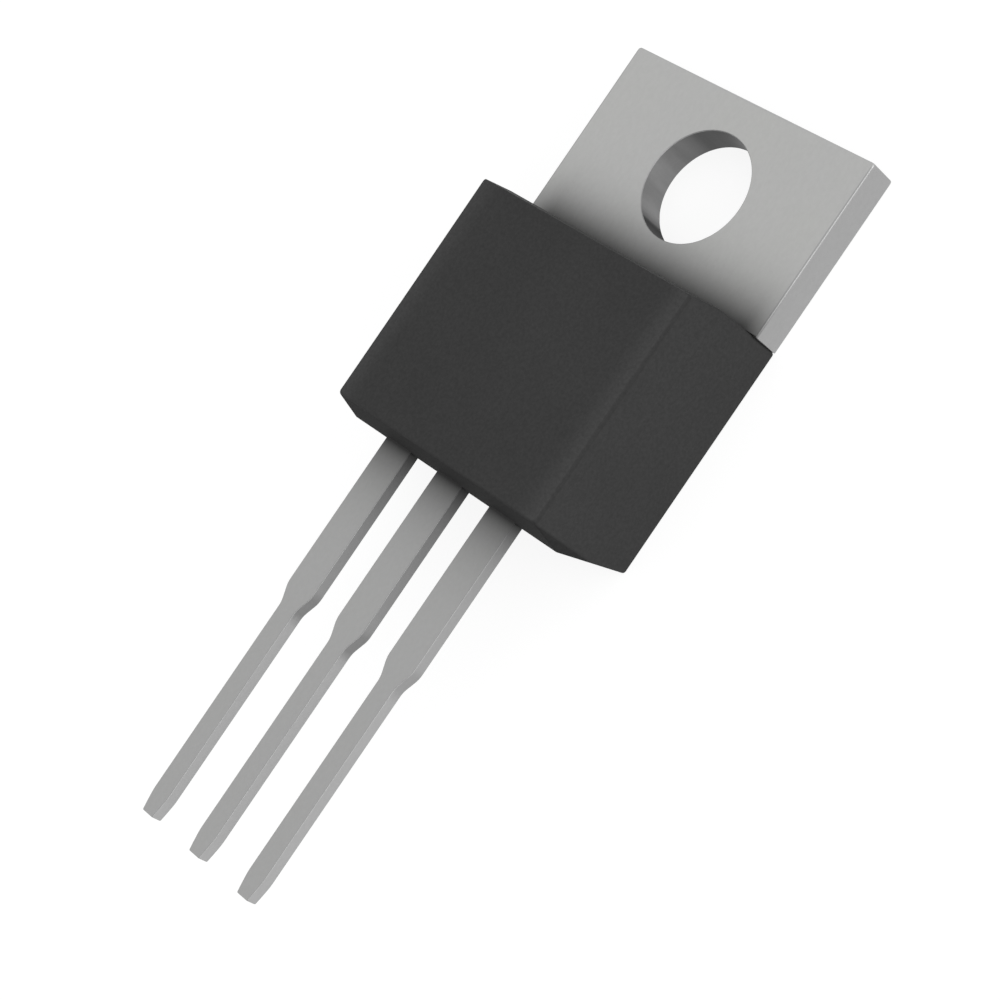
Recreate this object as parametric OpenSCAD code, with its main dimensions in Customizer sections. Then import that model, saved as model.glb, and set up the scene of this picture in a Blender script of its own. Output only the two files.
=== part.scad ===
// Transient voltage suppressor diode in a three-lead through-hole power package.
//
// It lies on its back. The heatsink face is on Z = 0 and +Z points out of the front face.
// +Y points towards the tab and the leads run towards -Y. X runs across the width.
// The origin is the axis of the mounting hole at the back face. All sizes are in mm.

/* [Tab] */
// Width of the tab
tab_width = 10.64; // [10.4:0.02:11]
// Thickness of the tab and of the header behind the chips
tab_thickness = 1.2; // [0.9:0.05:1.4]
// From the hole's axis to the tab's free edge
tab_above_hole = 3.15; // [2.6:0.05:3.6]
// From the hole's axis to the case
tab_below_hole = 3.15; // [2.6:0.05:3.6]
// Diameter of the mounting hole
hole_diameter = 3.9; // [3.4:0.05:4.2]
// Width of the broken edge round the tab's front face
tab_edge_break = 0.08; // [0.04:0.02:0.2]

/* [Header under the chips] */
// Length of the header inside the case
header_length = 6.1; // [5.4:0.05:6.6]
// Width of the header inside the case
header_width = 8.8; // [8.4:0.05:9.2]
// Width of the pad that the case leaves bare at the back
pad_width = 8.2; // [7.6:0.05:8.3]
// Height of the coined ledge that the case grips, from the back face
ledge_height = 0.4; // [0.25:0.05:0.6]
// Depth of the locking notch in each side of the header
notch_depth = 0.55; // [0.2:0.05:0.8]
// Length of the locking notch
notch_length = 0.8; // [0.4:0.05:1.1]
// From the case's tab end to the locking notch
notch_from_end = 0.5; // [0.3:0.05:0.7]

/* [Moulded case] */
// Length of the case at its parting line
case_length = 8.65; // [8.2:0.05:9.2]
// Height of the case from the back face to the front face
case_height = 4.25; // [4:0.05:4.8]
// Width of the case at the back face
case_back_width = 10.6; // [10.2:0.05:10.8]
// Draft of the two long sides, in degrees
side_draft = 6.6; // [3:0.2:8]
// Draft of the tab end in front of the parting line, in degrees
tab_end_draft = 9.5; // [3:0.5:12]
// Draft of the lead end on both sides of the parting line, in degrees
lead_end_draft = 12.4; // [3:0.2:13]
// Width of the soft edge round the front face
case_edge_break = 0.1; // [0.04:0.02:0.2]

/* [Leads] */
// Distance between neighbouring leads
lead_pitch = 2.54; // [2.4:0.01:2.6]
// Height of the leads' middle plane, and of the parting line, above the back face
lead_plane = 2.78; // [2.6:0.02:3]
// Thickness of the lead strip
lead_thickness = 0.44; // [0.3:0.02:0.5]
// Length of the leads outside the case
lead_length = 13.8; // [12.7:0.05:14.7]
// Width of the leads next to the case
lead_wide = 1.22; // [1.1:0.02:1.4]
// Length of the wide part outside the case
lead_wide_length = 5.45; // [4.5:0.05:6]
// Length of the sloping shoulder
shoulder_length = 0.6; // [0.3:0.05:0.9]
// Width of the leads below the shoulder
lead_narrow = 0.74; // [0.6:0.02:0.9]
// Length of the tapered tip
tip_length = 0.7; // [0.4:0.05:1]
// Width of the tip's end
tip_width = 0.53; // [0.4:0.01:0.58]

/* [Lead ends inside the case] */
// Width of the posts that the clips are soldered to
post_width = 1.96; // [1.7:0.02:2.2]
// Length of each post
post_length = 1.3; // [1.1:0.05:1.4]
// From the case's lead end to a post's inner end
post_reach = 2.15; // [2:0.05:2.3]
// Width of the strip that joins the middle lead to the header
joggle_width = 1.9; // [1.4:0.05:2.1]
// Straight run of that strip beside the header
joggle_foot = 0.15; // [0.1:0.05:0.3]
// From the case's lead end to the top of the joggle
joggle_reach = 1.05; // [0.8:0.05:1.2]

/* [Chips and solder] */
// Side of each square chip
chip_size = 2.6; // [2.2:0.05:2.8]
// Thickness of each chip
chip_thickness = 0.3; // [0.2:0.02:0.4]
// Side of the square contact on each chip's front
contact_size = 1.9; // [1.6:0.05:2]
// From the case's tab end to the middle of each chip
chip_from_end = 3.15; // [3:0.05:3.3]
// Thickness of each solder layer
solder_thickness = 0.06; // [0.04:0.01:0.1]
// Rim of solder that shows round each chip
solder_rim = 0.1; // [0.05:0.01:0.15]

/* [Clips] */
// Width of each clip
clip_width = 1.7; // [1.5:0.05:1.8]
// Thickness of each clip
clip_thickness = 0.3; // [0.2:0.02:0.36]
// How far each clip lies over its post
clip_overlap = 1; // [0.8:0.05:1.05]
// From a clip's upper bend to its post
clip_bend_gap = 0.2; // [0.15:0.05:0.3]

/* [Hidden] */

CASE_COLOUR = "#39393b";
TIN_COLOUR = "#aaaaa6";
CHIP_COLOUR = "#4b5363";
SOLDER_COLOUR = "#9a9b9e";
COPPER_COLOUR = "#b4704a";

LEFT = -1;
RIGHT = 1;
HOLE_FACETS = 96;
// How far one solid runs into the next where both are one piece
weld = 0.4;

// Places along Y
case_tab_end = -tab_below_hole;
case_lead_end = case_tab_end - case_length;
header_end = case_tab_end - header_length;
chip_y = case_tab_end - chip_from_end;
post_end = case_lead_end + post_reach;
joggle_top = case_lead_end + joggle_reach;
shoulder_start = case_lead_end - lead_wide_length;
shoulder_end = shoulder_start - shoulder_length;
tip_end = case_lead_end - lead_length;
tip_start = tip_end + tip_length;

// Heights
lead_back = lead_plane - lead_thickness / 2;
lead_front = lead_plane + lead_thickness / 2;
chip_back = tab_thickness + solder_thickness;
chip_front = chip_back + chip_thickness;
clip_foot = chip_front + solder_thickness;
clip_head = lead_front + solder_thickness;

// Case sections
parting_to_front = case_height - lead_plane;
front_half_width = case_back_width / 2 - case_height * tan(side_draft);
front_tab_end = case_tab_end - parting_to_front * tan(tab_end_draft);
front_lead_end = case_lead_end + parting_to_front * tan(lead_end_draft);
back_lead_end = case_lead_end + lead_plane * tan(lead_end_draft);

// Half an outline, mirrored across X = 0 to close it
function both_sides(half) =
    concat(half, [for (i = [len(half) - 1 : -1 : 0]) [-half[i].x, half[i].y]]);

// One side of a lead's outline outside the case, from the shoulder to the tip
lead_half = [
    [lead_wide / 2, shoulder_start],
    [lead_narrow / 2, shoulder_end],
    [lead_narrow / 2, tip_start],
    [tip_width / 2, tip_end]
];

// A flat piece cut to a plan outline
module plate(outline, back, thickness) {
    translate([0, 0, back])
        linear_extrude(thickness)
            polygon(outline);
}

// A side profile of [y, z] points carried across the width
module across(profile, width) {
    rotate([90, 0, 90])
        linear_extrude(width, center = true)
            polygon(profile);
}

// An end profile of [x, z] points carried along the length, from y_high down to y_low
module along(profile, y_high, y_low) {
    translate([0, y_high, 0])
        rotate([90, 0, 0])
            linear_extrude(y_high - y_low)
                polygon(profile);
}

// A strip bent up and level again. It starts at y_start on height low, bends up at y_low,
// reaches height high at y_high and ends at y_end. Its thickness stays the same on the slope,
// so the front face bends a little earlier than the back face.
module joggled_strip(y_start, y_low, y_high, y_end, low, high, thickness, width) {
    slope = atan2(high - low, y_low - y_high);
    lead_in = thickness * tan(slope / 2);
    across([
        [y_start, low],
        [y_low, low],
        [y_high, high],
        [y_end, high],
        [y_end, high + thickness],
        [y_high + lead_in, high + thickness],
        [y_low + lead_in, low + thickness],
        [y_start, low + thickness]
    ], width);
}

// A square layer centred on a chip's place
module chip_layer(side, size, back, thickness) {
    translate([side * lead_pitch, chip_y, back + thickness / 2])
        cube([size, size, thickness], center = true);
}

// Tab with its broken front edges and the mounting hole
module tab_plate() {
    half = tab_width / 2;
    bevel = tab_thickness - tab_edge_break;
    difference() {
        intersection() {
            along([
                [-half, 0],
                [half, 0],
                [half, bevel],
                [half - tab_edge_break, tab_thickness],
                [tab_edge_break - half, tab_thickness],
                [-half, bevel]
            ], tab_above_hole, case_tab_end);
            across([
                [case_tab_end, 0],
                [tab_above_hole, 0],
                [tab_above_hole, bevel],
                [tab_above_hole - tab_edge_break, tab_thickness],
                [case_tab_end, tab_thickness]
            ], tab_width);
        }
        translate([0, 0, -weld])
            cylinder(d = hole_diameter, h = tab_thickness + 2 * weld, $fn = HOLE_FACETS);
    }
}

// Header that carries the chips: a notched plate over the narrower pad that stays bare
module header_plate() {
    half = header_width / 2;
    ledge = (header_width - pad_width) / 2;
    notch_top = case_tab_end - notch_from_end;
    notch_bottom = notch_top - notch_length;
    plate(both_sides([
        [half, case_tab_end + weld],
        [half, notch_top],
        [half - notch_depth, notch_top - notch_depth / 2],
        [half - notch_depth, notch_bottom + notch_depth / 2],
        [half, notch_bottom],
        [half, header_end]
    ]), ledge_height, tab_thickness - ledge_height);
    plate(both_sides([
        [pad_width / 2, case_tab_end + weld],
        [pad_width / 2, notch_top],
        [pad_width / 2 - notch_depth, notch_top - notch_depth / 2],
        [pad_width / 2 - notch_depth, notch_bottom + notch_depth / 2],
        [pad_width / 2, notch_bottom],
        [pad_width / 2, header_end + ledge]
    ]), 0, ledge_height + weld / 2);
}

// Middle lead, from inside the case to its tip
module middle_lead() {
    joggled_strip(header_end + weld, header_end - joggle_foot, joggle_top, case_lead_end + weld,
        tab_thickness - lead_thickness, lead_back, lead_thickness, joggle_width);
    plate(both_sides(concat([[lead_wide / 2, joggle_top - weld / 2]], lead_half)),
        lead_back, lead_thickness);
}

// The tab, its header and the middle lead are stamped from one strip
module tab_frame() {
    color(TIN_COLOUR)
        union() {
            tab_plate();
            header_plate();
            middle_lead();
        }
}

// An outer lead with the post that anchors it in the case and takes the clip
module outer_lead(side) {
    post_base = post_end - post_length;
    neck = (post_width - lead_wide) / 2;
    color(TIN_COLOUR)
        translate([side * lead_pitch, 0, 0])
            plate(both_sides(concat([
                [post_width / 2, post_end],
                [post_width / 2, post_base],
                [lead_wide / 2, post_base - neck]
            ], lead_half)), lead_back, lead_thickness);
}

// Silicon chip
module chip(side) {
    color(CHIP_COLOUR)
        chip_layer(side, chip_size, chip_back, chip_thickness);
}

// Solder between the header and a chip
module die_solder(side) {
    color(SOLDER_COLOUR)
        chip_layer(side, chip_size + 2 * solder_rim, tab_thickness, solder_thickness);
}

// Solder between a chip's front contact and its clip
module contact_solder(side) {
    color(SOLDER_COLOUR)
        chip_layer(side, min(contact_size, clip_width), chip_front, solder_thickness);
}

// Copper clip from a chip's front up to the post of the outer lead
module clip(side) {
    color(COPPER_COLOUR)
        translate([side * lead_pitch, 0, 0])
            joggled_strip(chip_y + contact_size / 2, chip_y - contact_size / 2,
                post_end + clip_bend_gap, post_end - clip_overlap,
                clip_foot, clip_head, clip_thickness, clip_width);
}

// Solder between a clip and its post
module post_solder(side) {
    color(SOLDER_COLOUR)
        translate([side * lead_pitch, post_end - clip_overlap / 2, lead_front + solder_thickness / 2])
            cube([clip_width, clip_overlap, solder_thickness], center = true);
}

// Outer form of the case. Its long sides lean in from the back to the front face, and both
// ends lean back from the parting line at the height of the leads.
module case_block() {
    back_half = case_back_width / 2;
    edge_lean = case_edge_break * tan(side_draft);
    intersection() {
        along([
            [-back_half, 0],
            [back_half, 0],
            [front_half_width + edge_lean, case_height - case_edge_break],
            [front_half_width - case_edge_break, case_height],
            [case_edge_break - front_half_width, case_height],
            [-front_half_width - edge_lean, case_height - case_edge_break]
        ], case_tab_end, case_lead_end);
        across([
            [case_tab_end, 0],
            [case_tab_end, lead_plane],
            [front_tab_end, case_height],
            [front_lead_end, case_height],
            [case_lead_end, lead_plane],
            [back_lead_end, 0]
        ], case_back_width);
    }
}

// Case moulded round everything that it holds
module moulded_case() {
    color(CASE_COLOUR)
        difference() {
            case_block();
            tab_frame();
            for (side = [LEFT, RIGHT]) {
                outer_lead(side);
                die_solder(side);
                chip(side);
                contact_solder(side);
                clip(side);
                post_solder(side);
            }
        }
}

module left_lead() { outer_lead(LEFT); }
module right_lead() { outer_lead(RIGHT); }
module left_chip() { chip(LEFT); }
module right_chip() { chip(RIGHT); }
module left_die_solder() { die_solder(LEFT); }
module right_die_solder() { die_solder(RIGHT); }
module left_clip() { clip(LEFT); }
module right_clip() { clip(RIGHT); }
module left_contact_solder() { contact_solder(LEFT); }
module right_contact_solder() { contact_solder(RIGHT); }
module left_post_solder() { post_solder(LEFT); }
module right_post_solder() { post_solder(RIGHT); }

moulded_case();
tab_frame();
left_lead();
right_lead();
left_chip();
right_chip();
left_die_solder();
right_die_solder();
left_clip();
right_clip();
left_contact_solder();
right_contact_solder();
left_post_solder();
right_post_solder();
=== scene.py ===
"""Looks of a transient voltage suppressor diode in a three-lead power package.

Sizes are in millimetres until a surface becomes a mesh, which is in metres. The part lies on its
back: +Z points out of the front face, +Y towards the tab's free edge, and X runs across. The
origin is on the mounting hole's axis, at the back face.
"""
import bpy
import numpy as np
from mathutils import Matrix, Vector


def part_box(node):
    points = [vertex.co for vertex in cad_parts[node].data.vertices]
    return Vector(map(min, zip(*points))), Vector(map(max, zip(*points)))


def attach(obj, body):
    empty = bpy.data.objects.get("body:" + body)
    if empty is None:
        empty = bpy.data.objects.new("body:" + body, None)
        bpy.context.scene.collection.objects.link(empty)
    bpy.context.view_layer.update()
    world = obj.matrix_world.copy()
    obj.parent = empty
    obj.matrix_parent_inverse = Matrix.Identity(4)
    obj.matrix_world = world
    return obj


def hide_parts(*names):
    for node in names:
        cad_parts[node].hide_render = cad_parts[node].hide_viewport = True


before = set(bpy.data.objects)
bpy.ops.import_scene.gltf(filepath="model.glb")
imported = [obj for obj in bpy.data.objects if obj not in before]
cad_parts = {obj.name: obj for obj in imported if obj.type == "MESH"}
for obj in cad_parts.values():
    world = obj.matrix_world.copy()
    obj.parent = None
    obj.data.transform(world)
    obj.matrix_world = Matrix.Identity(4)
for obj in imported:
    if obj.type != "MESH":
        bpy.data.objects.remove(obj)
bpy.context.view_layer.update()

MM = 0.001
# Two values that differ by less than this count as the same
TOUCH = 0.001


# ---------------------------------------------------------------- sizes

def node_box(name):
    """A CAD node's lowest and highest corners in millimetres, to four decimals."""
    return [np.round(np.array(corner) / MM, 4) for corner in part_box(name)]


case_low, case_high = node_box("moulded_case")
strip_high = node_box("tab_frame")[1]
lead_low, lead_high = node_box("right_lead")
lead_middle = (lead_low + lead_high) / 2

# Case, whose long sides slope from the back face up, and whose ends slope from the parting line
CASE_BACK_HALF, CASE_TAB_END, CASE_FRONT = case_high
CASE_LEAD_END = case_low[1]
CASE_CORNER = 0.1
SIDE_DRAFT, TAB_END_DRAFT, LEAD_END_DRAFT = np.tan(np.radians([6.6, 9.5, 12.4]))
FRONT_ROLL_WIDTH = 0.9
FRONT_ROLL_DROP = 0.03

# Tab, and the header that the case closes round, with the pad that it leaves bare at the back
TAB_HALF, TAB_FREE_EDGE = strip_high[:2]
TAB_THICKNESS = 1.2
TAB_ROUND = 0.08
HOLE_RADIUS = 1.95
HOLE_ROUND = 0.03
HEADER_HALF = 4.4
HEADER_END = CASE_TAB_END - 6.1
LEDGE_WIDTH = 0.3
LEDGE_HEIGHT = 0.4
PAD_HALF = HEADER_HALF - LEDGE_WIDTH
PAD_END = HEADER_END + LEDGE_WIDTH

# Locking notch in each long side of the header, with slopes on both sides of a flat bottom
NOTCH_DEPTH = 0.55
NOTCH_START = CASE_TAB_END - 0.5
NOTCH_END = NOTCH_START - 0.8
NOTCH_Y = [NOTCH_START, NOTCH_START - NOTCH_DEPTH / 2, NOTCH_END + NOTCH_DEPTH / 2, NOTCH_END]

# Leads outside the case
LEAD_PITCH, PARTING = lead_middle[[0, 2]]
LEAD_THICKNESS = lead_high[2] - lead_low[2]
LEAD_TIP = lead_low[1]
LEAD_HALF = 0.61
LEAD_NARROW_HALF = 0.37
LEAD_TIP_HALF = 0.265
LEAD_EDGE_ROUND = 0.03
SHOULDER_START = CASE_LEAD_END - 5.45
SHOULDER_END = SHOULDER_START - 0.6
TIP_START = LEAD_TIP + 0.7

# Lead ends inside the case: the outer leads' posts, and the strip that steps up from the header
POST_INNER_END = lead_high[1]
POST_HALF = (lead_high[0] - lead_low[0]) / 2
POST_NECK = POST_HALF - LEAD_HALF
STRIP_HALF = 0.95
STRIP_NECK = 0.3
STRIP_START = HEADER_END + 0.4
STRIP_FOOT = HEADER_END - 0.15
STRIP_TOP = CASE_LEAD_END + 1.05
WIDE_END = POST_INNER_END - 1.3


# ---------------------------------------------------------------- shapes

def unit(vectors):
    """Each vector divided by its own length."""
    return vectors / np.linalg.norm(vectors, axis=-1, keepdims=True)


def soften(rows, cuts, steps=7, closed=False):
    """Rounds the corners of a line of rows, for every point of a row at once.

    A corner B between A and C becomes (1-q)^2 P + 2q(1-q) B + q^2 R for q from 0 to 1, where P and
    R lie one cut away from B, towards A and towards C. One more row lies half a cut further out on
    each side, so that the flats stay flat. A corner whose cut is None stays as it is.
    Returns the rows, and for each a weight that is sin(pi q) on a rounded edge and 0 elsewhere.
    """
    outer_row = 1.5
    q = np.linspace(0, 1, steps)
    curve = q[:, None, None]
    made, edge_weight = [], []
    for k, here in enumerate(rows):
        if cuts[k] is None or (not closed and k in (0, len(rows) - 1)):
            made.append(here[None])
            edge_weight.append(np.zeros(1))
            continue
        cut = np.broadcast_to(cuts[k], len(here))[:, None]
        back = unit(rows[k - 1] - here) * cut
        ahead = unit(rows[(k + 1) % len(rows)] - here) * cut
        rounded = (
            (1 - curve) ** 2 * (here + back)
            + 2 * curve * (1 - curve) * here
            + curve**2 * (here + ahead)
        )
        made += [(here + back * outer_row)[None], rounded, (here + ahead * outer_row)[None]]
        edge_weight += [np.zeros(1), np.sin(np.pi * q), np.zeros(1)]
    return np.concatenate(made), np.concatenate(edge_weight)


def ring_pattern(side_x, side_y, corner_steps=6):
    """Goes once round a rounded rectangle, anticlockwise from its +X side.

    Returns the place of each point on the core rectangle, from -1 to 1 on both axes, and its
    outward direction. side_x and side_y are the rising places of the points along the sides.
    """
    side_x, side_y = np.asarray(side_x, float), np.asarray(side_y, float)
    turn = np.linspace(0, np.pi / 2, corner_steps + 2)[1:-1]
    core, out = [], []
    for k, corner in enumerate([(1, 1), (-1, 1), (-1, -1), (1, -1)]):
        along = side_y if k % 2 == 0 else side_x
        rising = along if k in (0, 3) else along[::-1]
        fixed = np.full(len(rising), 1.0 if k in (0, 1) else -1.0)
        core.append(np.stack([fixed, rising] if k % 2 == 0 else [rising, fixed], 1))
        start = k * np.pi / 2
        out.append(np.tile([np.cos(start), np.sin(start)], (len(rising), 1)))
        core.append(np.tile(corner, (corner_steps, 1)).astype(float))
        out.append(np.stack([np.cos(start + turn), np.sin(start + turn)], 1))
    return np.concatenate(core), np.concatenate(out)


def ring(pattern, half_x, low_y, high_y, radius, height):
    """Rounded rectangle: core place times (half size - radius), plus radius times direction."""
    core, out = pattern
    half = np.array([half_x, (high_y - low_y) / 2]) - radius
    middle = np.array([0, (high_y + low_y) / 2])
    flat = middle + core * half + out * radius
    return np.column_stack([flat, np.broadcast_to(height, len(flat))])


def net(points, closed_rows=False, first_pole=None, last_pole=None):
    """Joins rows of points into quads, closed round each row. A pole closes an end by a fan."""
    rows, across = points.shape[:2]
    i = np.arange(rows if closed_rows else rows - 1)[:, None]
    j = np.arange(across)[None, :]
    ahead, beside = (i + 1) % rows, (j + 1) % across
    corners = [i * across + j, i * across + beside, ahead * across + beside, ahead * across + j]
    faces = np.stack(np.broadcast_arrays(*corners), -1).reshape(-1, 4).tolist()
    spots = points.reshape(-1, 3)
    spot, next_spot = j[0], beside[0]
    if first_pole is not None:
        faces += np.stack([next_spot, spot, np.full(across, len(spots))], 1).tolist()
        spots = np.vstack([spots, first_pole])
    if last_pole is not None:
        last = (rows - 1) * across
        faces += np.stack([last + spot, last + next_spot, np.full(across, len(spots))], 1).tolist()
        spots = np.vstack([spots, last_pole])
    return spots, faces


def inside_out(spots, faces):
    """True if the closed surface has a negative volume: the sum of a . (b x c) over triangles."""
    triangles = np.array([[f[0], f[k], f[k + 1]] for f in faces for k in range(1, len(f) - 1)])
    a, b, c = (spots[triangles[:, k]] for k in range(3))
    return np.einsum("ij,ij->i", a, np.cross(b, c)).sum() < 0


def make_piece(name, spots, faces, marks, material, nodes, slot):
    """Puts a closed surface into a mesh in metres, with its marks as point attributes. The piece
    stands for the CAD nodes, which it hides. Its slot is not used."""
    if inside_out(spots, faces):
        faces = [face[::-1] for face in faces]
    mesh = bpy.data.meshes.new(name)
    mesh.from_pydata((spots * MM).tolist(), [], faces)
    mesh.polygons.foreach_set("use_smooth", np.ones(len(faces), bool))
    for mark_name, values in marks.items():
        padded = np.zeros(len(spots), np.float32)
        padded[: values.size] = values.ravel()
        mesh.attributes.new(mark_name, "FLOAT", "POINT").data.foreach_set("value", padded)
    mesh.materials.append(material)
    mesh.validate()
    piece = bpy.data.objects.new(name, mesh)
    bpy.context.scene.collection.objects.link(piece)
    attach(piece, "root")
    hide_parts(*nodes)


def case_surface():
    """The case as rings from the middle of the front face, over the front edge and the parting
    ridge, round the back edge, along the rim and up into the pocket that the header fills.

    A ring is a rounded rectangle. Its half width is the back's, less its height times the side
    draft. Its lead end draws in by the draft there times the distance from the parting line, and
    its tab end by the draft there times the height in front of that line.
    """
    back_lead_end = CASE_LEAD_END + PARTING * LEAD_END_DRAFT
    middle = (CASE_TAB_END + back_lead_end) / 2
    half_length = (CASE_TAB_END - back_lead_end) / 2 - CASE_CORNER

    # Places of the points along a ring's sides: closer at the corners, one at each corner of the
    # notch, and one on each side of the place where the tab end passes the pad's side, near 0.788.
    notch = [(y - middle) / half_length for y in NOTCH_Y[::-1]]
    side_y = [-1, -0.99, -0.93, -0.6, -0.3, 0, 0.3, 0.6] + notch + [0.95, 0.99, 1]
    half = [0, 0.3, 0.55, 0.7, 0.78, 0.792, 0.81, 0.84, 0.87, 0.9, 0.93, 0.955, 0.975, 0.99, 1]
    side_x = [-share for share in half[:0:-1]] + half
    pattern = ring_pattern(side_x, side_y)
    out = pattern[1]

    def level(height, inset=0.0):
        """The case's outline at a height, drawn in by the inset."""
        low = CASE_LEAD_END + abs(height - PARTING) * LEAD_END_DRAFT
        high = CASE_TAB_END - max(height - PARTING, 0) * TAB_END_DRAFT
        half_x = CASE_BACK_HALF - height * SIDE_DRAFT
        return ring(pattern, half_x - inset, low + inset, high - inset, CASE_CORNER, height)

    front_insets = [3.7, 2.8, 1.9, 1.3, 1.0, 0.86, 0.72, 0.58, 0.44]
    front = [level(CASE_FRONT, inset) for inset in front_insets]
    edge, ridge, back = level(CASE_FRONT), level(PARTING), level(0)
    sill_above_tab = 0.06
    sill = level(TAB_THICKNESS + sill_above_tab)

    # The tab end stops on the header's front face, and the rim runs beside the pad.
    reach = np.abs(back[:, 0])
    side_sign = np.sign(back[:, 0])
    tab_end = out[:, 1] > TOUCH
    long_side = np.abs(out[:, 0]) > 1 - TOUCH
    over_header = tab_end & (reach < PAD_HALF)
    back[over_header] = level(TAB_THICKNESS)[over_header]

    # Distances from the hole along a long side, where the rim's outer edge and the pad's edge are
    # joined, and how far the pad's edge steps in at each for the notch.
    rim_start, straight_end, outer_end = 0.25 - CASE_TAB_END, 8.5, 11.09
    notch_places = [-y for y in NOTCH_Y]
    outer_places = [-CASE_TAB_END] + notch_places + [straight_end, outer_end]
    inner_places = [rim_start] + notch_places + [straight_end, -PAD_END - CASE_CORNER]
    notch_insets = [0, 0, NOTCH_DEPTH, NOTCH_DEPTH, 0, 0, 0]

    def pocket(half_x, end_y, height, step):
        """A ring of the pocket, round the pad or the header. At the tab end it keeps the places
        across and lies a little behind the wall, by more beside the pad and with each step, so
        that no two rings touch there."""
        made = ring(pattern, half_x, end_y, CASE_TAB_END, CASE_CORNER, height)
        made[tab_end, 0] = (side_sign * np.minimum(reach, half_x))[tab_end]
        least, beside_pad, each_step = 0.05, 0.16, 0.01
        behind_wall = least + beside_pad * np.maximum(reach - PAD_HALF, 0) + each_step * step
        made[tab_end, 1] = CASE_TAB_END - behind_wall[tab_end]
        made[over_header, 2] = TAB_THICKNESS
        place = np.interp(-back[long_side, 1], outer_places, inner_places)
        depth = np.interp(place, inner_places, notch_insets)
        made[long_side, 0] = side_sign[long_side] * (half_x - depth)
        made[long_side, 1] = -place
        return made

    pockets = [
        pocket(PAD_HALF, PAD_END, 0, 1),
        pocket(PAD_HALF, PAD_END, LEDGE_HEIGHT, 2),
        pocket(HEADER_HALF, HEADER_END, LEDGE_HEIGHT, 3),
        pocket(HEADER_HALF, HEADER_END, TAB_THICKNESS, 4),
    ]

    # The front edge's cut goes over from the long sides to the ends by the square of direction.
    long_cut, tab_end_cut, lead_end_cut = 0.13, 0.05, 0.14
    end_cut = np.where(out[:, 1] > 0, tab_end_cut, lead_end_cut)
    front_cut = long_cut * out[:, 0] ** 2 + end_cut * out[:, 1] ** 2
    ridge_cut = 0.04
    back_cut = np.where(over_header, 0.02, 0.03)
    rows = np.stack(front + [edge, ridge, sill, back] + pockets)
    cuts = [None] * len(front) + [front_cut, ridge_cut, None, back_cut] + [None] * len(pockets)
    rows, edge_weight = soften(rows, cuts, steps=9)

    # The front face rolls off towards its long edges by the square of the way into the roll.
    front_half = CASE_BACK_HALF - CASE_FRONT * SIDE_DRAFT
    way = np.clip((np.abs(rows[..., 0]) - front_half + FRONT_ROLL_WIDTH) / FRONT_ROLL_WIDTH, 0, 1)
    height = np.clip((rows[..., 2] - PARTING) / (CASE_FRONT - PARTING), 0, 1)
    rows[..., 2] -= FRONT_ROLL_DROP * way**2 * height
    front_middle, ceiling_middle = (0, -7.4, CASE_FRONT), (0, -5.4, TAB_THICKNESS)
    spots, faces = net(rows, first_pole=front_middle, last_pole=ceiling_middle)
    return spots, faces, {"edge": np.broadcast_to(edge_weight[:, None], rows.shape[:2])}


def plan_outline(header_half, header_end):
    """Outline of the tab and header, anticlockwise, with its corners rounded. Returns it with the
    number of pieces, none over 0.2 mm, that each of its runs is divided into."""
    longest_piece = 0.2
    corner_cut, free_corner_cut = 0.03, 0.12
    insets = [0, NOTCH_DEPTH, NOTCH_DEPTH, 0]
    side = [(header_half - inset, y) for inset, y in zip(insets, NOTCH_Y[::-1])]
    tab = [(header_half, CASE_TAB_END), (TAB_HALF, CASE_TAB_END), (TAB_HALF, TAB_FREE_EDGE)]
    right = [(header_half, header_end)] + side + tab
    left = [(-x, y) for x, y in right[::-1]]
    corners = np.array(right + left)
    rows = np.column_stack([corners, np.zeros(len(corners))])[:, None]
    cuts = [corner_cut] * (len(right) - 1) + [free_corner_cut]
    outline = soften(rows, cuts + cuts[::-1], steps=6, closed=True)[0][:, 0, :2]
    lengths = np.linalg.norm(np.roll(outline, -1, 0) - outline, axis=1)
    return outline, np.maximum(np.ceil(lengths / longest_piece).astype(int), 1)


def fill_outline(outline, pieces):
    """Divides each run of an outline into its number of equal pieces."""
    start = np.repeat(np.arange(len(outline)), pieces)
    first = np.cumsum(pieces) - pieces
    share = ((np.arange(len(start)) - first[start]) / pieces[start])[:, None]
    return outline[start] * (1 - share) + np.roll(outline, -1, 0)[start] * share


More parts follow.
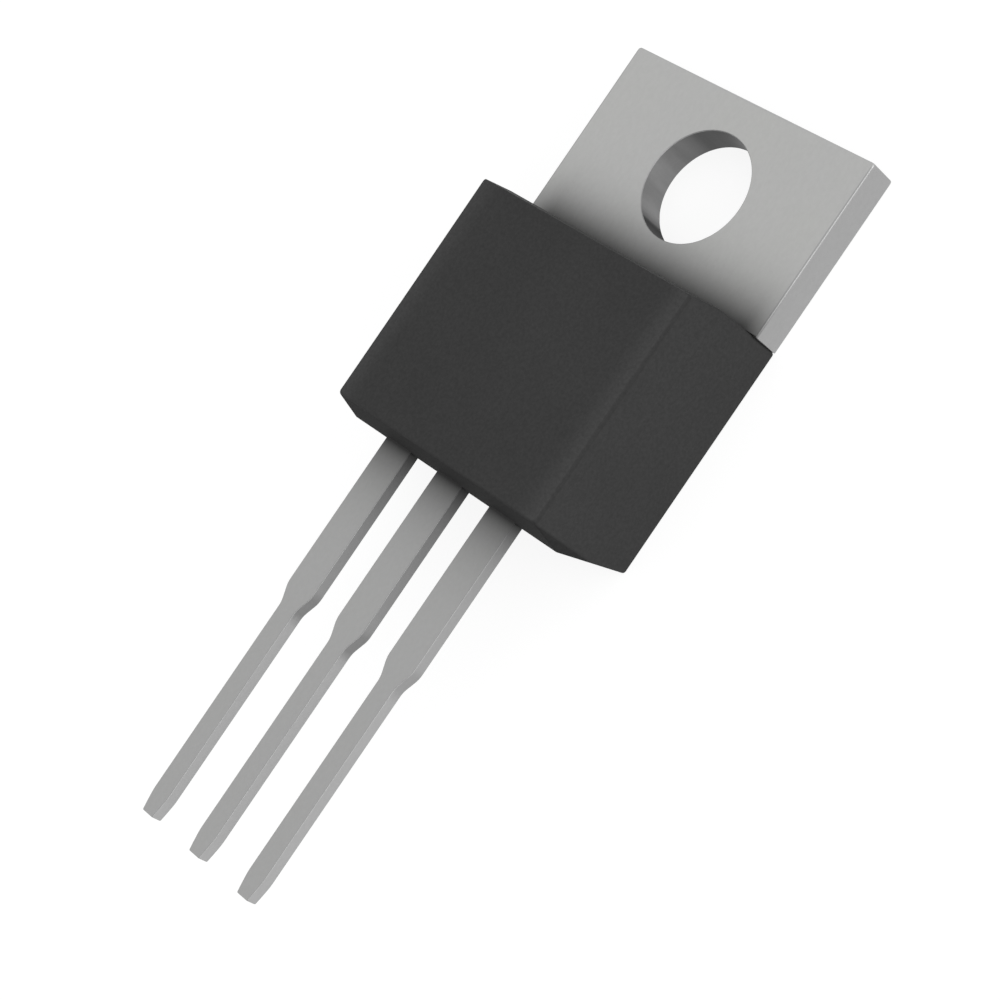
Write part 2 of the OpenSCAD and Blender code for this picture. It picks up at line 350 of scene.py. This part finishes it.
def tab_surface():
    """Tab and header as rings that leave the hole's wall over the front face, come down the
    sides, narrow at the coined ledge to the bare pad, and return to the hole over the back."""
    outline, pieces = plan_outline(HEADER_HALF, HEADER_END)
    upper = fill_outline(outline, pieces)
    lower = fill_outline(plan_outline(PAD_HALF, PAD_END)[0], pieces)
    in_header = upper[:, 1] < CASE_TAB_END - TOUCH

    # The ring between the outline and the hole is the outline drawn towards the hole. It has no
    # notches, so that it never folds back.
    drawn_in, header_drawn_in, end_zone = 0.75, 0.88, 0.2
    on_long_side = upper[:, 1] > HEADER_END + end_zone
    beside = np.where(on_long_side, np.sign(upper[:, 0]) * HEADER_HALF, upper[:, 0]) * drawn_in
    along = CASE_TAB_END + (upper[:, 1] - CASE_TAB_END) * header_drawn_in
    inner = np.where(in_header[:, None], np.stack([beside, along], 1), upper * drawn_in)
    angle = np.arctan2(inner[:, 1], inner[:, 0])
    circle = HOLE_RADIUS * np.stack([np.cos(angle), np.sin(angle)], 1)

    def at(plan, height):
        """A ring of the plan, lifted to its height."""
        return np.column_stack([plan, np.broadcast_to(height, len(plan))])

    side_foot = np.where(in_header, LEDGE_HEIGHT, LEDGE_HEIGHT + 0.03)
    front_cut = np.where(in_header, 0.01, TAB_ROUND)
    back_cut = np.where(in_header, 0.006, 0.03)
    hole_back_cut = 0.04
    rings = [
        (at(circle, 0), hole_back_cut),
        (at(circle, TAB_THICKNESS), HOLE_ROUND),
        (at(inner, TAB_THICKNESS), None),
        (at(upper, TAB_THICKNESS), front_cut),
        (at(upper, side_foot), None),
        (at(lower, LEDGE_HEIGHT), None),
        (at(lower, 0), back_cut),
        (at(inner, 0), None),
    ]
    rows, cuts = zip(*rings)
    rows, edge_weight = soften(np.stack(rows), cuts, steps=7, closed=True)
    height = rows[..., 2]
    in_hole = np.linalg.norm(rows[..., :2], axis=-1) < HOLE_RADIUS + TOUCH
    level = (height < TOUCH) | (height > TAB_THICKNESS - TOUCH)
    wall = in_hole & (height > HOLE_ROUND) & (height < TAB_THICKNESS - HOLE_ROUND)
    wear_and_highlight_share = 0.45
    marks = {
        "edge": np.where(in_hole, 0, wear_and_highlight_share * edge_weight[:, None]),
        "cut_face": np.where(level & ~in_hole, 0.0, 1.0),
        "punched": wall.astype(float),
    }
    spots, faces = net(rows, closed_rows=True)
    return spots, faces, marks


def lead_surface(x, path, widths, neighbours):
    """A strip carried along a path of (y, z) points. Its section is a rounded rectangle whose
    half width follows the (y, half width) line, and both of its ends are rounded over.

    The side faces that look at a neighbour (-1, 1 or both) get painted shade, where the neighbour
    shades them, from the case down to the shoulder. The shoulder itself is dull on both sides, where
    the bar that joined the leads was cut away.
    """
    def eased(line, cut):
        """The line with its corners rounded, as (y, value) points."""
        points = np.array([(a, b, 0) for a, b in line], float)[:, None]
        return soften(points, [cut] * len(line), steps=5)[0][:, 0, :2]

    bend_cut, width_cut = 0.25, 0.16
    even_stations, closest = 60, 1e-4
    middle, width = eased(path, bend_cut), eased(widths, width_cut)
    stations = np.union1d(middle[:, 0], width[:, 0])
    stations = np.union1d(stations, np.linspace(stations[0], stations[-1], even_stations))
    stations = stations[np.diff(stations, append=np.inf) > closest][::-1]
    z = np.interp(stations, middle[::-1, 0], middle[::-1, 1])
    half = np.interp(stations, width[::-1, 0], width[::-1, 1])
    slope = np.gradient(z, stations)
    up = unit(np.stack([-slope, np.ones_like(slope)], 1))
    width_places, thickness_places = [-1, -0.9, 0, 0.9, 1], [-1, -0.7, 0, 0.7, 1]
    pattern = ring_pattern(width_places, thickness_places, corner_steps=5)
    out = pattern[1]

    def section(k, inset, forward):
        """The strip's section at station k, drawn in by the inset and moved forward along Y."""
        half_thickness = LEAD_THICKNESS / 2 - inset
        flat = ring(pattern, half[k] - inset, -half_thickness, half_thickness, LEAD_EDGE_ROUND, 0)
        y = stations[k] + forward + up[k, 0] * flat[:, 1]
        return np.column_stack([x + flat[:, 0], y, z[k] + up[k, 1] * flat[:, 1]])

    # Both ends go round a quarter circle of this radius.
    end_round = 0.04
    quarter = np.linspace(np.pi / 2, 0, 5)
    inset, short = end_round * (1 - np.cos(quarter)), end_round * (1 - np.sin(quarter))
    start = [section(0, a, -b) for a, b in zip(inset, short)]
    body = [section(k, 0, 0) for k in range(1, len(stations) - 1)]
    end = [section(-1, a, b) for a, b in zip(inset[::-1], short[::-1])]
    rows = np.stack(start + body + end)
    poles = [(x, stations[0], z[0]), (x, stations[-1], z[-1])]

    # Edges are worn, both end faces half as much, and the side faces and the tip are sheared.
    side_face = np.abs(out[:, 0]) > 0.5
    edge_weight = np.tile(np.abs(out[:, 0] * out[:, 1]) * 2, (len(rows), 1))
    edge_weight[[0, -1]] = 0.5
    cut_face = np.tile(side_face.astype(float), (len(rows), 1))
    cut_face[-3:] = 1

    # Painted shade on the sides that face a neighbour, and dullness where the bar was cut, at five
    # places from below the shoulder up to the case
    places = [SHOULDER_END - 0.4, SHOULDER_END, SHOULDER_START, SHOULDER_START + 0.3,
              CASE_LEAD_END - 0.7]
    painted_shade, cut_bar = [0, 0.9, 0.9, 0.45, 1], [0, 0.35, 0.35, 0, 0]
    towards_neighbour = np.max([out[:, 0] * side > 0.5 for side in neighbours], axis=0)
    flash = np.maximum(
        towards_neighbour * np.interp(rows[..., 1], places, painted_shade),
        side_face * np.interp(rows[..., 1], places, cut_bar),
    )
    spots, faces = net(rows, first_pole=poles[0], last_pole=poles[1])
    return spots, faces, {"edge": edge_weight, "cut_face": cut_face, "flash": flash}


# ---------------------------------------------------------------- finishes

class Tree:
    """A node tree with short ways to add and join nodes."""

    def __init__(self, tree):
        self.tree = tree

    def add(self, kind, settings=None, **inputs):
        node = self.tree.nodes.new("ShaderNode" + kind)
        for key, value in (settings or {}).items():
            setattr(node, key, value)
        for key, value in inputs.items():
            self.put(node.inputs[key.replace("_", " ")], value)
        return node

    def put(self, socket, value):
        """Joins another node's output to the socket, or sets a plain value on it."""
        if isinstance(value, bpy.types.NodeSocket):
            self.tree.links.new(value, socket)
        else:
            socket.default_value = value

    def noise(self, vector, scale, detail=3.0, roughness=0.5):
        node = self.add("TexNoise", Vector=vector, Scale=scale, Detail=detail, Roughness=roughness)
        return node.outputs["Fac"]

    def remap(self, value, low, high, out_low=0.0, out_high=1.0, smooth=False):
        settings = {"interpolation_type": "SMOOTHSTEP" if smooth else "LINEAR"}
        node = self.add("MapRange", settings, Value=value, From_Min=low, From_Max=high,
                        To_Min=out_low, To_Max=out_high)
        return node.outputs["Result"]

    def ramp(self, place, start, end, low=0.0, high=1.0, smooth=False):
        """Goes from low to high between two places in millimetres."""
        return self.remap(place, start * MM, end * MM, low, high, smooth)

    def vary(self, noise, low=0.0, high=1.0):
        """Spreads the middle of a noise, from 0.3 to 0.7, between low and high."""
        return self.remap(noise, 0.3, 0.7, low, high)

    def math(self, operation, *values):
        node = self.add("Math", {"operation": operation})
        for socket, value in zip(node.inputs, values):
            self.put(socket, value)
        return node.outputs["Value"]

    def times(self, first, *others):
        """The product of all values."""
        for other in others:
            first = self.math("MULTIPLY", first, other)
        return first

    def mix(self, share, a, b, blend="MIX"):
        node = self.add("Mix", {"data_type": "RGBA", "blend_type": blend})
        self.put(node.inputs["Factor"], share)
        self.put(node.inputs["A"], a)
        self.put(node.inputs["B"], b)
        return node.outputs["Result"]

    def shade(self, tone, factor):
        """A tone times a factor."""
        return self.mix(1.0, tone, factor, "MULTIPLY")

    def bump(self, height, distance):
        node = self.add("Bump", Height=height, Distance=distance, Strength=1.0)
        return node.outputs["Normal"]

    def mark(self, name):
        """A surface's own mark, from 0 to 1."""
        return self.add("Attribute", {"attribute_name": name}).outputs["Fac"]


def grey(value):
    """A neutral linear colour."""
    return (value, value, value, 1.0)


def fine_grain_group():
    """Two sizes of noise on Object coordinates: fine grain and slow cloud, both centred on 0.5."""
    group = bpy.data.node_groups.new("fine_grain", "ShaderNodeTree")
    for name in ("Grain Scale", "Cloud Scale"):
        group.interface.new_socket(name, in_out="INPUT", socket_type="NodeSocketFloat")
    group.interface.new_socket("Stretch", in_out="INPUT", socket_type="NodeSocketVector")
    for name in ("Grain", "Cloud"):
        group.interface.new_socket(name, in_out="OUTPUT", socket_type="NodeSocketFloat")
    t = Tree(group)
    source, result = group.nodes.new("NodeGroupInput"), group.nodes.new("NodeGroupOutput")
    place = t.add("TexCoord").outputs["Object"]
    stretched = t.add("VectorMath", {"operation": "MULTIPLY"})
    t.put(stretched.inputs[0], place)
    t.put(stretched.inputs[1], source.outputs["Stretch"])
    grain = t.noise(stretched.outputs[0], source.outputs["Grain Scale"], detail=2.0, roughness=0.6)
    cloud = t.noise(place, source.outputs["Cloud Scale"], detail=3.0, roughness=0.55)
    t.put(result.inputs["Grain"], grain)
    t.put(result.inputs["Cloud"], cloud)
    return group


FINE_GRAIN = fine_grain_group()


def grain_of(t, grain_scale, cloud_scale, stretch=(1, 1, 1)):
    """Grain and cloud, with this many features to a metre, and the grain stretched."""
    node = t.add("Group", {"node_tree": FINE_GRAIN}, Grain_Scale=grain_scale, Cloud_Scale=cloud_scale)
    node.inputs["Stretch"].default_value = stretch
    return node.outputs["Grain"], node.outputs["Cloud"]


def new_finish(name, **constants):
    """A material with a Principled shader whose constants are set on its own sockets."""
    material = bpy.data.materials.new(name)
    material.use_nodes = True
    shader = material.node_tree.nodes["Principled BSDF"]
    for key, value in constants.items():
        shader.inputs[key.replace("_", " ")].default_value = value
    return material, Tree(material.node_tree), shader


def epoxy_finish():
    """Dark moulding compound: spark-textured, with pale filler specks and slow clouds. The front
    face has a painted sheen along its long edges, and painted shade at their corners and at the lead
    end."""
    material, t, shader = new_finish("moulded_epoxy", Specular_IOR_Level=0.14)
    grain, cloud = grain_of(t, grain_scale=9000, cloud_scale=180)
    x, y, z = t.add("SeparateXYZ", Vector=t.add("TexCoord").outputs["Object"]).outputs
    across = t.math("ABSOLUTE", x)
    dark, pale, painted_sheen, painted_crease_shade, painted_end_shade = map(grey, (0.034, 0.042, 0.058, 0.02, 0.025))
    tone = t.mix(t.vary(cloud), dark, pale)

    # Painted sheen: the front face is lighter along its long edges, where light catches their roll.
    sheen_start, sheen_end, sheen_share = 3.8, 4.8, 0.75
    on_front = t.ramp(z, CASE_FRONT - 0.1, CASE_FRONT - 0.05)
    sheen_band = t.times(t.ramp(across, sheen_start, sheen_end, smooth=True), on_front)
    tone = t.mix(t.times(sheen_band, sheen_share), tone, painted_sheen)

    # Painted crease shade: darker on the rounded long edges of the front face, more so in front.
    corner_start, corner_end = 4.6, 4.7
    corner = t.times(t.mark("edge"), t.ramp(across, corner_start, corner_end))
    stronger_in_front = t.ramp(z, CASE_FRONT - 0.25, CASE_FRONT - 0.15, low=0.12, high=0.6)
    tone = t.mix(t.times(corner, stronger_in_front), tone, painted_crease_shade)

    # Painted shade on the lead end of the case, which is also made rough.
    shaded_lead_end = t.ramp(y, CASE_LEAD_END + 0.38, CASE_LEAD_END + 0.3)
    end_rough = 0.9
    tone = t.mix(shaded_lead_end, tone, painted_end_shade)
    t.put(shader.inputs["Base Color"], t.shade(tone, t.vary(grain, 0.88, 1.12)))
    rough = t.math("MAXIMUM", t.vary(cloud, 0.66, 0.74), t.times(shaded_lead_end, end_rough))
    t.put(shader.inputs["Roughness"], rough)
    t.put(shader.inputs["Normal"], t.bump(grain, 0.006 * MM))
    return material


def hole_wall(t, coordinates, y):
    """Tone and roughness of the hole's wall, with the soft streaks that the punch left along its
    way. The tone is painted reflection and shade: mid grey in the middle, dark towards the free edge,
    and dark and dull next to the case."""
    # Painted shade towards both ends of the wall, and painted reflection in its middle.
    painted_near_shade, painted_far_shade, painted_middle_reflection = map(grey, (0.08, 0.05, 0.225))
    off_case = t.ramp(y, 0.3 - HOLE_RADIUS, 0.7 - HOLE_RADIUS, smooth=True)
    middle = t.times(off_case, t.ramp(y, HOLE_RADIUS - 0.05, 0.4))
    tone = t.mix(middle, t.mix(off_case, painted_near_shade, painted_far_shade), painted_middle_reflection)
    along_punch = t.add("Mapping", Vector=coordinates, Scale=(1, 1, 0.1)).outputs["Vector"]
    streaks = t.remap(t.noise(along_punch, scale=1500), 0.35, 0.65, out_low=0.88, out_high=1.12)
    rough = t.remap(off_case, 0.5, 0, out_low=0, out_high=0.9)
    return t.shade(tone, streaks), rough


def painted_case_shadow(t, x, y, z):
    """Share of painted shadow from the case, d millimetres from it: exp(-(0.52 d + 0.40 d^2)) on the
    tab's front face, where it thins towards both sides, and exp(-0.95 d) on the leads."""
    farthest = 5
    tab_rate, tab_curve, lead_rate = 0.52, 0.40, 0.95
    on_tab = t.ramp(y, CASE_TAB_END, CASE_TAB_END + farthest, low=0, high=farthest)
    on_leads = t.ramp(y, CASE_LEAD_END, CASE_LEAD_END - farthest, low=0, high=farthest)
    tab_fade = t.times(on_tab, t.math("MULTIPLY_ADD", on_tab, tab_curve, tab_rate))
    fade = t.math("MULTIPLY_ADD", on_leads, lead_rate, tab_fade)
    left_start, left_end, right_start, right_end = -5.4, -4.3, 4.6, 5.5
    left = t.ramp(x, left_start, left_end, low=0.55, high=1, smooth=True)
    right = t.ramp(x, right_start, right_end, low=1, high=0.7, smooth=True)
    in_front = t.ramp(z, TAB_THICKNESS - 0.1, TAB_THICKNESS - 0.03, low=0, high=0.95)
    return t.times(t.math("EXPONENT", t.times(fade, -1.0)), in_front, left, right)


def tin_finish():
    """Matte tin plate: rolling grain along Y, duller leads, sheared faces, worn edges with a painted
    highlight at the free edge, painted shade and reflection in the hole's wall, painted shade on the
    leads' sides, and the case's painted shadow that thins away from it."""
    material, t, shader = new_finish("tin_plate", Metallic=1.0)
    grain, cloud = grain_of(t, grain_scale=8000, cloud_scale=400, stretch=(1, 0.6, 1))
    coordinates = t.add("TexCoord").outputs["Object"]
    x, y, z = t.add("SeparateXYZ", Vector=coordinates).outputs
    plate, warm_plate, lead_tone = grey(0.43), (0.47, 0.472, 0.46, 1), grey(0.30)
    side_shade_and_cut_tone, painted_shade = grey(0.22), grey(0.02)
    tone = t.mix(cloud, plate, warm_plate)
    on_leads = t.ramp(y, CASE_LEAD_END + 0.3, CASE_LEAD_END - 0.7, low=0, high=0.5)
    tone = t.mix(on_leads, tone, lead_tone)

    sheared = t.ramp(y, SHOULDER_START - 0.25, SHOULDER_END - 0.65, low=0.37, high=0.4)
    tone = t.mix(t.mark("cut_face"), tone, sheared)
    # Painted shade on the leads' sides that face a neighbour, and the dull shoulder where the bar was
    # cut.
    tone = t.mix(t.mark("flash"), tone, side_shade_and_cut_tone)
    # Edges are darker from wear, and lighter along the tab's free edge as a painted highlight.
    wear_and_highlight = t.ramp(y, TAB_FREE_EDGE - 0.2, TAB_FREE_EDGE - 0.1, low=0.27, high=0.6)
    tone = t.mix(t.mark("edge"), tone, wear_and_highlight)

    wall, wall_rough = hole_wall(t, coordinates, y)
    punched = t.mark("punched")
    tone = t.mix(punched, tone, wall)
    # Painted shadow of the case on the tab's front face and the leads, thinning away from the case.
    tone = t.mix(painted_case_shadow(t, x, y, z), tone, painted_shade)
    t.put(shader.inputs["Base Color"], t.shade(tone, t.vary(grain, 0.98, 1.02)))
    rough = t.math("MAXIMUM", t.vary(cloud, 0.42, 0.5), t.times(punched, wall_rough))
    t.put(shader.inputs["Roughness"], rough)
    t.put(shader.inputs["Normal"], t.bump(grain, 0.003 * MM))
    return material


def silicon_finish():
    """Polished silicon with a faint cloud in its tone."""
    material, t, shader = new_finish("silicon", Metallic=0.6)
    grain, cloud = grain_of(t, grain_scale=6000, cloud_scale=1500)
    deep, light = (0.07, 0.08, 0.11, 1), (0.09, 0.1, 0.14, 1)
    t.put(shader.inputs["Base Color"], t.mix(cloud, deep, light))
    t.put(shader.inputs["Roughness"], t.vary(grain, 0.15, 0.25))
    return material


def copper_finish():
    """Bare rolled copper with fine lines along Y and slow tarnish."""
    material, t, shader = new_finish("copper_clip", Metallic=1.0)
    grain, cloud = grain_of(t, grain_scale=9000, cloud_scale=900, stretch=(1, 0.1, 1))
    bright, tarnished = (0.62, 0.27, 0.14, 1), (0.42, 0.15, 0.07, 1)
    t.put(shader.inputs["Base Color"], t.mix(cloud, bright, tarnished))
    t.put(shader.inputs["Roughness"], t.vary(grain, 0.28, 0.42))
    t.put(shader.inputs["Normal"], t.bump(grain, 0.003 * MM))
    return material


def solder_finish():
    """Dull reflowed solder, lightly crystallised."""
    material, t, shader = new_finish("solder", Metallic=1.0)
    grain, cloud = grain_of(t, grain_scale=12000, cloud_scale=2500)
    t.put(shader.inputs["Base Color"], t.mix(cloud, grey(0.34), grey(0.5)))
    t.put(shader.inputs["Roughness"], t.vary(grain, 0.35, 0.55))
    t.put(shader.inputs["Normal"], t.bump(grain, 0.004 * MM))
    return material


EPOXY, TIN, SILICON = epoxy_finish(), tin_finish(), silicon_finish()
COPPER, SOLDER = copper_finish(), solder_finish()


# ---------------------------------------------------------------- pieces

make_piece("case", *case_surface(), EPOXY, ["moulded_case"], "moulded_epoxy")
make_piece("tab_and_header", *tab_surface(), TIN, ["tab_frame"], "tin_plate")

# Half widths of every lead outside the case
outside = [
    (SHOULDER_START, LEAD_HALF),
    (SHOULDER_END, LEAD_NARROW_HALF),
    (TIP_START, LEAD_NARROW_HALF),
    (LEAD_TIP, LEAD_TIP_HALF),
]

straight = [(POST_INNER_END, PARTING), (LEAD_TIP, PARTING)]
post = [(POST_INNER_END, POST_HALF), (WIDE_END, POST_HALF), (WIDE_END - POST_NECK, LEAD_HALF)]
for side_name, side in (("left", -1), ("right", 1)):
    surface = lead_surface(side * LEAD_PITCH, straight, post + outside, [-side])
    make_piece(side_name + "_outer_lead", *surface, TIN, [side_name + "_lead"], "tin_plate")

foot_level = TAB_THICKNESS - LEAD_THICKNESS / 2
joggle = [
    (STRIP_START, foot_level),
    (STRIP_FOOT, foot_level),
    (STRIP_TOP, PARTING),
    (LEAD_TIP, PARTING),
]
strip = [(STRIP_START, STRIP_HALF), (WIDE_END, STRIP_HALF), (WIDE_END - STRIP_NECK, LEAD_HALF)]
surface = lead_surface(0, joggle, strip + outside, [-1, 1])
make_piece("middle_lead", *surface, TIN, ["tab_frame"], "tin_plate")

# The pieces that are sealed in the case keep their CAD shapes.
sealed_finishes = {
    "chip": SILICON,
    "clip": COPPER,
    "die_solder": SOLDER,
    "contact_solder": SOLDER,
    "post_solder": SOLDER,
}
for side_name in ("left", "right"):
    for part, material in sealed_finishes.items():
        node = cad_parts[side_name + "_" + part]
        node.data.materials.clear()
        node.data.materials.append(material)


# ---------------------------------------------------------------- studio

def seen_directly(t):
    """1 for what the camera sees itself, in gloss or through glass, and 0 for light on the part."""
    path = t.add("LightPath").outputs
    seen = t.math("MAXIMUM", path["Is Camera Ray"], path["Is Glossy Ray"])
    return t.math("MAXIMUM", seen, path["Is Transmission Ray"])


def lay_floor():
    """Pale floor just under the part, which keeps the part's shadow."""
    below_part = 0.02 * MM
    bpy.ops.mesh.primitive_plane_add(size=1.2, location=(0, -0.01, -below_part))
    floor = bpy.context.object
    floor.name = "floor"
    material = bpy.data.materials.new("floor_paper")
    material.use_nodes = True
    nodes = material.node_tree.nodes
    nodes.remove(nodes["Principled BSDF"])
    t = Tree(material.node_tree)
    paper, white, glow_strength = grey(0.22), grey(1.0), 0.85
    matte = t.add("BsdfDiffuse", Color=paper)
    glow = t.add("Emission", Color=white, Strength=t.times(seen_directly(t), glow_strength))
    both = t.add("AddShader")
    t.put(both.inputs[0], matte.outputs[0])
    t.put(both.inputs[1], glow.outputs[0])
    t.put(nodes["Material Output"].inputs["Surface"], both.outputs[0])
    floor.data.materials.append(material)


def set_surround():
    """An even white surround, which lights the part a little less than it shows."""
    world = bpy.data.worlds.new("surround")
    bpy.context.scene.world = world
    world.use_nodes = True
    background = world.node_tree.nodes["Background"]
    lighting, shown = 0.75, 1.0
    t = Tree(world.node_tree)
    t.put(background.inputs["Color"], grey(1.0))
    t.put(background.inputs["Strength"], t.remap(seen_directly(t), 0, 1, lighting, shown))


def hang_lamp():
    """One broad soft lamp off the +X side, a little above the part."""
    lamp = bpy.data.lights.new("soft_lamp", "AREA")
    lamp.shape, lamp.size, lamp.size_y, lamp.energy = "RECTANGLE", 0.5, 0.14, 0.58
    holder = bpy.data.objects.new("soft_lamp", lamp)
    bpy.context.scene.collection.objects.link(holder)
    holder.visible_camera = False
    place, aim = Vector((0.28, -0.01, 0.08)), Vector((0, -0.008, 0))
    holder.location = place
    holder.rotation_euler = (aim - place).to_track_quat("-Z", "Y").to_euler()


def stand_camera():
    """Camera off the +X side, tilted in its own plane so that the leads run down to the left.

    turn is its angle from +Z towards +X, lift its angle towards +Y, and roll the tilt of the
    picture, in degrees. The part's origin lies (shift_x, shift_y) off the middle of the view,
    before the roll, and distance from the camera. focal is in pixels of a picture 1000 wide.
    """
    turn, lift, roll = np.radians([40.517, -0.429, 34.3])
    distance, shift_x, shift_y = 96.250, 0.316, 11.4176
    focal, picture_width = 3081.1, 1000
    towards = np.array([np.sin(turn) * np.cos(lift), np.sin(lift), np.cos(turn) * np.cos(lift)])
    right = np.array([np.cos(turn), 0, -np.sin(turn)])
    up = np.cross(towards, right)
    place = (distance * towards - shift_x * right - shift_y * up) * MM
    picture_right = np.cos(roll) * right + np.sin(roll) * up
    picture_up = -np.sin(roll) * right + np.cos(roll) * up
    camera = bpy.data.cameras.new("camera")
    camera.sensor_width = 36
    camera.lens = focal / picture_width * camera.sensor_width
    camera.clip_start, camera.clip_end = 0.001, 10
    holder = bpy.data.objects.new("camera", camera)
    axes = np.column_stack([picture_right, picture_up, towards])
    holder.matrix_world = Matrix.Translation(place) @ Matrix(axes.tolist()).to_4x4()
    bpy.context.scene.collection.objects.link(holder)
    bpy.context.scene.camera = holder


lay_floor()
set_surround()
hang_lamp()
stand_camera()
bpy.context.scene.view_settings.view_transform = "Standard"
